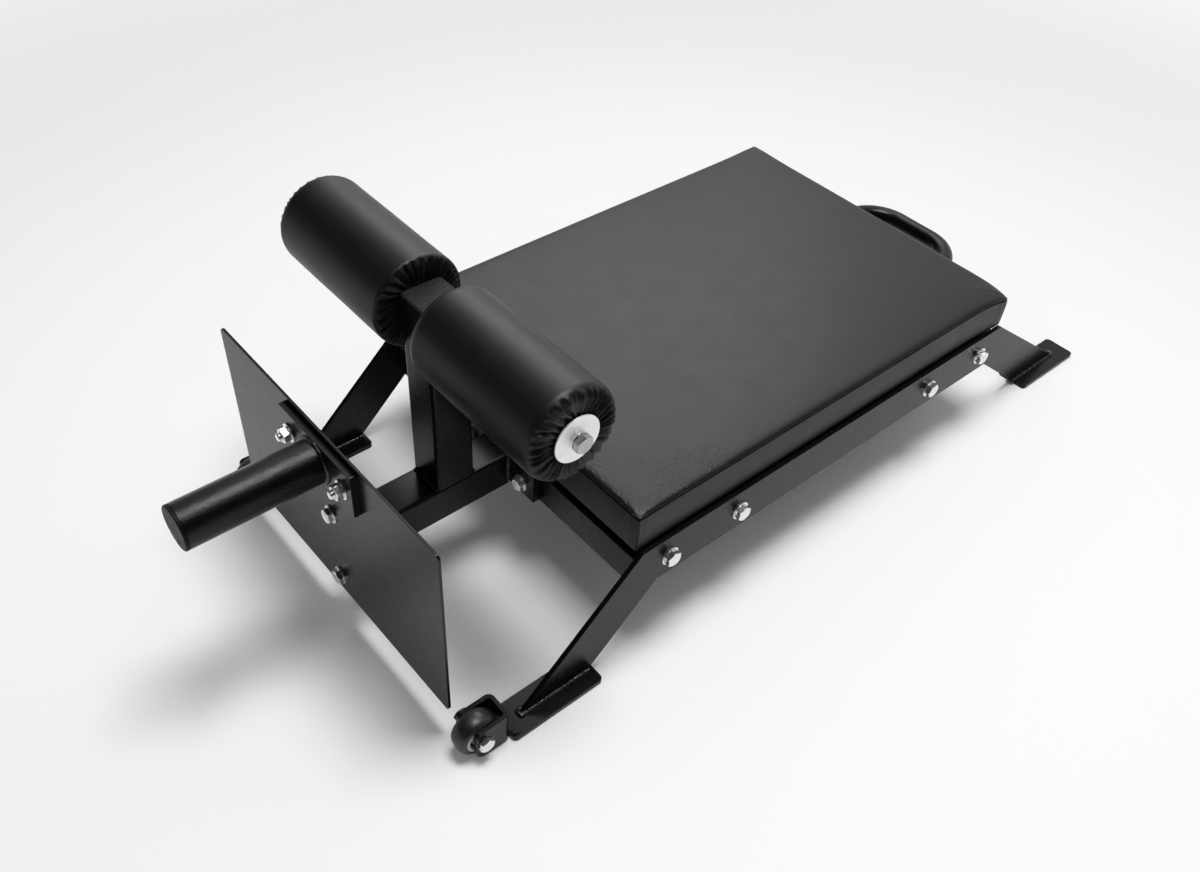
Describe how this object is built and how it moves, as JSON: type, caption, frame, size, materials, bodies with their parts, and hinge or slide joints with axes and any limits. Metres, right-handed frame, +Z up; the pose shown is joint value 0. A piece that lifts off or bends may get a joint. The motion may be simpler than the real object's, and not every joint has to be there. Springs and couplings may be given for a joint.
{
  "type": "nordic hamstring bench",
  "caption": "Low kneeling bench with a padded board, ankle rollers on a post, a footplate with a weight horn, transport wheels and a carry handle.",
  "frame": {"origin": "centre of the bounding box's base, on the floor", "axes": "+X along the bench from the weight horn towards the carry handle, +Y across the bench towards its left side, +Z up"},
  "size_m": [1.294, 0.527, 0.425],
  "materials": {
    "black_powder_coat": "satin black powder coat",
    "charcoal_vinyl": "smooth charcoal vinyl with a soft sheen",
    "padded_vinyl": "upholstery foam under smooth charcoal vinyl",
    "zinc_steel": "bright zinc plating",
    "black_rubber": "matt rubber",
    "black_plastic": "grained black plastic",
    "grey_nylon": "moulded grey nylon",
    "bronze": "sintered bronze",
    "plywood": "dark stained plywood",
    "foam": "closed-cell foam"
  },
  "bodies": {
    "frame": {"pad_cushion": "padded_vinyl", "pad_board": "plywood", "pad_t_nuts": "zinc_steel", "pad_bolts": "zinc_steel", "pad_bolt_washers": "zinc_steel", "front_cross_tube": "black_powder_coat", "rear_cross_tube": "black_powder_coat", "left_rail": "black_powder_coat", "right_rail": "black_powder_coat", "left_leg_plate": "black_powder_coat", "right_leg_plate": "black_powder_coat", "left_front_foot": "black_powder_coat", "right_front_foot": "black_powder_coat", "left_rear_foot": "black_powder_coat", "right_rear_foot": "black_powder_coat", "leg_bolts": "zinc_steel", "leg_bolt_washers": "zinc_steel", "leg_bolt_nuts": "zinc_steel", "spine_tube": "black_powder_coat", "spine_flange": "black_powder_coat", "flange_bolts": "zinc_steel", "flange_washers": "zinc_steel", "flange_nuts": "zinc_steel", "footplate": "black_powder_coat", "footplate_bracket": "black_powder_coat", "footplate_bolts": "zinc_steel", "footplate_washers": "zinc_steel", "footplate_nuts": "zinc_steel", "horn_tube": "black_powder_coat", "horn_cap": "black_powder_coat", "horn_flange": "black_powder_coat", "horn_bolts": "zinc_steel", "horn_washers": "zinc_steel", "horn_nuts": "zinc_steel", "post": "black_powder_coat", "post_cap": "black_plastic", "roller_axle": "zinc_steel", "axle_end_discs": "zinc_steel", "axle_spring_washers": "zinc_steel", "axle_end_bolts": "zinc_steel", "left_wheel_fork": "black_powder_coat", "right_wheel_fork": "black_powder_coat", "wheel_bolts": "zinc_steel", "wheel_nuts": "zinc_steel", "handle": "black_powder_coat"},
    "left_roller": {"left_roller_sleeve": "grey_nylon", "left_roller_foam": "foam", "left_roller_cover": "charcoal_vinyl"},
    "right_roller": {"right_roller_sleeve": "grey_nylon", "right_roller_foam": "foam", "right_roller_cover": "charcoal_vinyl"},
    "left_wheel": {"left_tyre": "black_rubber", "left_wheel_hub": "grey_nylon", "left_wheel_bush": "bronze"},
    "right_wheel": {"right_tyre": "black_rubber", "right_wheel_hub": "grey_nylon", "right_wheel_bush": "bronze"}
  },
  "joints": [
    {"name": "left_roller_spin", "type": "hinge", "parent": "frame", "child": "left_roller", "pos_m": [-0.3405, 0.126, 0.371], "axis": [0, 1, 0], "continuous": true},
    {"name": "right_roller_spin", "type": "hinge", "parent": "frame", "child": "right_roller", "pos_m": [-0.3405, -0.126, 0.371], "axis": [0, 1, 0], "continuous": true},
    {"name": "left_wheel_spin", "type": "hinge", "parent": "frame", "child": "left_wheel", "pos_m": [-0.473, 0.238, 0.0263], "axis": [0, 1, 0], "continuous": true},
    {"name": "right_wheel_spin", "type": "hinge", "parent": "frame", "child": "right_wheel", "pos_m": [-0.473, -0.238, 0.0263], "axis": [0, 1, 0], "continuous": true}
  ]
}
